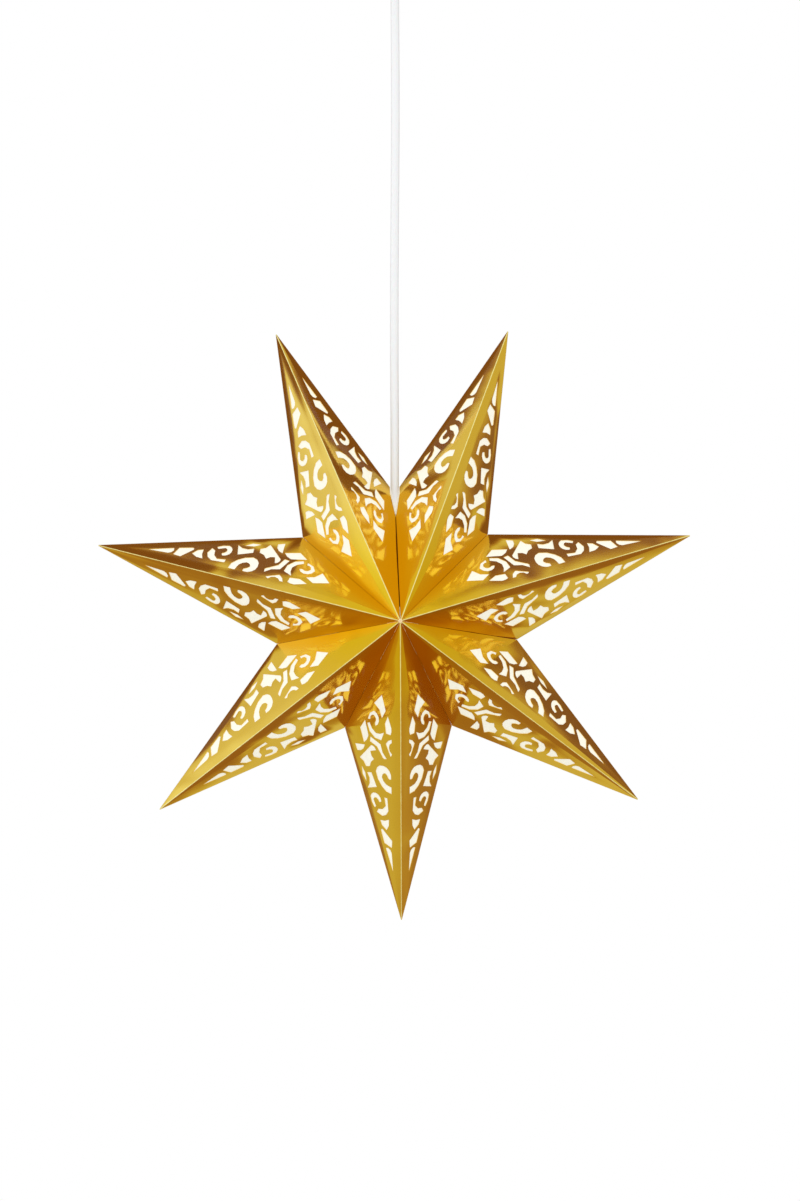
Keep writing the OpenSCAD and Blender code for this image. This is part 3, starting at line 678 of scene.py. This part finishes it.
core_finish = {"brown": ((0.10, 0.045, 0.02), (0.16, 0.075, 0.035)),
               "blue": ((0.01, 0.06, 0.26), (0.02, 0.10, 0.38))}
for tint, side in (("brown", 1), ("blue", -1)):
    line = bpy.data.curves.new(f"core_line_{tint}", "CURVE")
    line.dimensions = "3D"
    line.bevel_depth = 0.0007
    line.bevel_resolution = 4
    line.use_fill_caps = True
    run = line.splines.new("BEZIER")
    run.bezier_points.add(1)
    ends = ((1.7, seat - 6.95, 0.2), (6.45, block_top + 2.15, 1.5))
    for knot, (x, z, lean) in zip(run.bezier_points, ends):
        knot.co = Vector((side * x, 0, z)) * 0.001
        knot.handle_left = knot.co + Vector((-side * lean, 0, 1.5)) * 0.001
        knot.handle_right = knot.co + Vector((side * lean, 0, -1.5)) * 0.001
    core_wire = bpy.data.objects.new(f"core_{tint}", line)
    bpy.context.collection.objects.link(core_wire)
    only(core_wire)
    bpy.ops.object.convert(target="MESH")
    core_wire = bpy.context.object
    insulation = grained(f"{tint}_insulation", *core_finish[tint], 0.35, 0.5, 600, 0.00002)
    core_wire.data.materials.append(insulation)
    fitted(core_wire, ["flex_cores"])

# Bulb
# A small sealed globe bulb lights the star from inside: opal glass, a rolled nickel cap and a dark
# glass seal round its foot contact.
foot = -499.467
globe_middle = -554.967
bulb_threads = threads(6.9, 0.35, foot - 2.2, foot - 20.0, 2.8)
bulb = turned("globe_bulb", [
    (0, foot), (2.6, foot), (3.0, foot - 0.3), (3.0, foot - 0.7), (6.0, foot - 2.0), *bulb_threads,
    (6.9, foot - 21.0), (6.9, foot - 23), (8.5, foot - 24.2), (11.0, foot - 26), (12.0, foot - 28),
    (11.9, foot - 32), (12.2, foot - 35.5), *arc(0, globe_middle, 22.5, 55, -88, 30), (0, -577.467)], 64)
opal = new_finish("lit_opal_glass", {"Base Color": (0.95, 0.93, 0.88, 1), "Emission Strength": 0.35,
                                     "Transmission Weight": 0.0, "Coat Weight": 0.5})
tree = opal.node_tree
milky = noise(tree, place_on(tree), 60, 2)
feed(opal, "Emission Color", blended(tree, milky, (1.0, 0.80, 0.52), (1.0, 0.86, 0.60)))
feed(opal, "Roughness", ranged(tree, milky, 0, 1, 0.12, 0.22))
seal = grained("dark_glass_seal", (0.01, 0.01, 0.012), (0.03, 0.03, 0.035), 0.08, 0.2, 400, 0.00002)
for finish in (opal, nickel, seal):
    bulb.data.materials.append(finish)
for face in bulb.data.polygons:
    z = face.center.z * 1000
    on_cap = z > foot - 24.2
    on_seal = foot - 2.0 < z < foot - 0.7
    face.material_index = 2 if on_seal else 1 if on_cap else 0
fitted(bulb, ["bulb"])

# Ceiling fitting
# The flex ends in the ceiling: a zinc-plated steel strap is screwed up, a threaded nylon nipple hangs
# in it and grips the flex, and a ribbed nut holds a white moulded cup up over them and the terminals.
cup_mouth = -24
housing_foot = -11.4
zinc = grained("zinc_plated_steel", (0.50, 0.51, 0.53), (0.70, 0.71, 0.73), 0.24, 0.42, 120, 0.00003,
               stretch=(1, 14, 14), values={"Metallic": 1.0})
strap = joined_copy("mounting_strap", "steel_mounting_strap")
only(strap)
bpy.ops.object.modifier_add(type="BEVEL")
strap.modifiers["Bevel"].width = 0.0003
strap.modifiers["Bevel"].segments = 2
bpy.ops.object.modifier_apply(modifier="Bevel")
strap.data.materials.append(zinc)
fitted(strap, ["mounting_strap"], 30)

nipple = turned("threaded_nipple", [
    (0, 0), (4.6, 0), *threads(5.0, 0.35, -0.4, -33.4, 1.5), (4.5, -34), (3.6, -34), (3.4, -33.6),
    (3.4, -26), (0, -26)], 40)
nipple.data.materials.append(nylon)
fitted(nipple, ["ceiling_nipple"])

cup_nut = turned("ribbed_cup_nut", [
    (5.15, -31), (7.8, -31), *arc(7.8, -29.8, 1.2, -70, 0, 4), (9, -24.4), (8.7, -24), (5.15, -24)], 48)
pressed_ribs(cup_nut, 48, -29.9, -24.2, 8.9, 0.4)
cup_nut.data.materials.append(nylon)
fitted(cup_nut, ["cup_nut"])

cup = turned("white_ceiling_cup", [
    (5.15, cup_mouth), (5.9, cup_mouth), (6.1, cup_mouth + 0.15), (11.5, cup_mouth + 0.15),
    (11.8, cup_mouth), *arc(24, -18, 6, -90, 0, 9), (30, -0.5), (29.7, 0), (28, 0),
    *arc(24, -18, 4, 0, -90, 6), (5.15, -22)], 96)
cup.data.materials.append(moulding)
fitted(cup, ["ceiling_cup"])

housing = block("terminal_housing", (9.5, 0, -6.5), (7, 14, 10), 0.5)
only(housing)
bpy.ops.object.mode_set(mode="EDIT")
bpy.ops.mesh.select_all(action="SELECT")
bpy.ops.mesh.bisect(plane_co=(0, 0, 0), plane_no=(0, 1, 0))
close_edit()
pick_faces(housing, lambda c, normal: normal.z < -0.99 and c.z < housing_foot)
bpy.ops.mesh.inset(thickness=0.0012, depth=-0.0025, use_individual=True)
close_edit()
housing.data.materials.append(nylon)
clamps = []
for side in (1, -1):
    clamp = turned("clamp_screw", [(0, 1.5), (1.3, 1.5), (1.6, 1.2), (1.6, 0), (0, 0)], 20)
    sunk_slot(clamp, 0, 0.5, 1.4, 0.5)
    clamp.data.transform(Matrix.Translation((0.0095, side * 0.0035, -0.0089)) @ Matrix.Rotation(pi, 4, "X"))
    clamp.data.materials.append(brass)
    clamps.append(clamp)
fitted(as_one("terminal_block_with_screws", [housing, *clamps]), ["terminal_block"])

# Studio
# A plain pale floor well below the lamp, soft boxes to both sides, above and in front, and a white
# backdrop all round. The foil mirrors a warm room that is darker behind and below.
floor_radius = 3.2
floor_height = -2.4
wall_level = 0.72
far_wall_level = 0.20

bpy.ops.object.select_all(action="DESELECT")
bpy.ops.mesh.primitive_circle_add(vertices=96, radius=floor_radius, fill_type="NGON",
                                  location=(0, 0, floor_height))
floor = bpy.context.object
floor.name = "studio_floor"
chalk = new_finish("pale_floor", {"Roughness": 0.8})
tree = chalk.node_tree
mottle = noise(tree, place_on(tree), 2, 4)
feed(chalk, "Base Color", blended(tree, mottle, (0.72, 0.72, 0.71), (0.77, 0.77, 0.76)))
floor.data.materials.append(chalk)
floor.visible_glossy = False


def soft_box(name, place, aim, width, height, power):
    """One soft box that faces the star."""
    bpy.ops.object.light_add(type="AREA", location=place)
    lamp = bpy.context.object
    lamp.name = name
    lamp.rotation_mode = "QUATERNION"
    lamp.rotation_quaternion = (Vector(aim) - Vector(place)).to_track_quat("-Z", "Y")
    lamp.data.shape = "RECTANGLE"
    lamp.data.size = width
    lamp.data.size_y = height
    lamp.data.energy = power
    lamp.visible_glossy = False
    return lamp


soft_box("soft_box_left", (-2.2, -0.1, 0.4), star_centre, 1.6, 2.2, 9)
soft_box("soft_box_right", (2.4, -0.3, 0.0), star_centre, 1.2, 1.8, 3)
soft_box("soft_box_top", (0.2, -0.6, 1.6), star_centre, 1.8, 1.4, 5)
soft_box("soft_box_front", (-0.3, -3.2, 0.3), star_centre, 1.6, 1.6, 30)

world = bpy.data.worlds.new("white_studio")
world.use_nodes = True
bpy.context.scene.world = world
tree = world.node_tree
around = node(tree, "ShaderNodeTexCoord", {}).outputs["Generated"]
axes = node(tree, "ShaderNodeSeparateXYZ", {"Vector": around}).outputs


def lobe(towards, start, strength):
    """Light or shade that grows towards one side of the room."""
    facing = node(tree, "ShaderNodeVectorMath", {0: around, 1: Vector(towards)}, operation="DOT_PRODUCT")
    return ranged(tree, facing.outputs["Value"], start, 1, 0, strength, "SMOOTHSTEP")


# What the foil mirrors: the walls in front of the star, and further back a darker wall behind it.
walls = wall_level
for towards, start, strength in (((-0.996, 0, 0.09), 0.9, 0.20), ((1, 0, 0), 0, -0.10),
                                 ((0.17, 0, -0.985), 0.24, -0.41), ((-0.82, 0, -0.57), 0.8, -0.13)):
    walls = maths(tree, "ADD", lobe(towards, start, strength), walls)
floorward = ranged(tree, axes["Z"], 0, -0.85, 0, 1, "SMOOTHSTEP")
leftward = ranged(tree, axes["X"], 0, -1, 0.48, 0.28)
far_wall = maths(tree, "MULTIPLY_ADD", floorward, leftward, far_wall_level)
behind = maths(tree, "MULTIPLY_ADD", maths(tree, "MAXIMUM", axes["Z"], 0), 0.12, axes["Y"])
behind = maths(tree, "MULTIPLY_ADD", maths(tree, "MINIMUM", axes["X"], 0), 0.10, behind)
depth = ranged(tree, behind, 0.22, 0.36, 0, 1, "SMOOTHSTEP")
shade = node(tree, "ShaderNodeMix", {"Factor": depth, 2: walls, 3: far_wall}, data_type="FLOAT").outputs[0]

# Its tones, from the darkest corner to the brightest side.
ramp = node(tree, "ShaderNodeValToRGB", {"Fac": shade})
for at, tint in ((0.15, (0.16, 0.062, 0.02)), (0.3, (0.32, 0.17, 0.06)), (0.45, (0.45, 0.31, 0.09)),
                 (0.6, (0.60, 0.56, 0.20)), (0.75, (0.75, 0.78, 0.58))):
    ramp.color_ramp.elements.new(at).color = (*tint, 1)
ramp.color_ramp.elements[0].color = (0.04, 0.01, 0, 1)
ramp.color_ramp.elements[-1].color = (1.0, 1.18, 1.4, 1)
ray = node(tree, "ShaderNodeLightPath", {}).outputs
soft = blended(tree, ray["Is Glossy Ray"], (0.80, 0.81, 0.83), ramp.outputs["Color"])
level = blended(tree, ray["Is Camera Ray"], soft, (1, 1, 1))
tree.links.new(level, tree.nodes["Background"].inputs["Color"])
bpy.context.scene.view_settings.view_transform = "Standard"
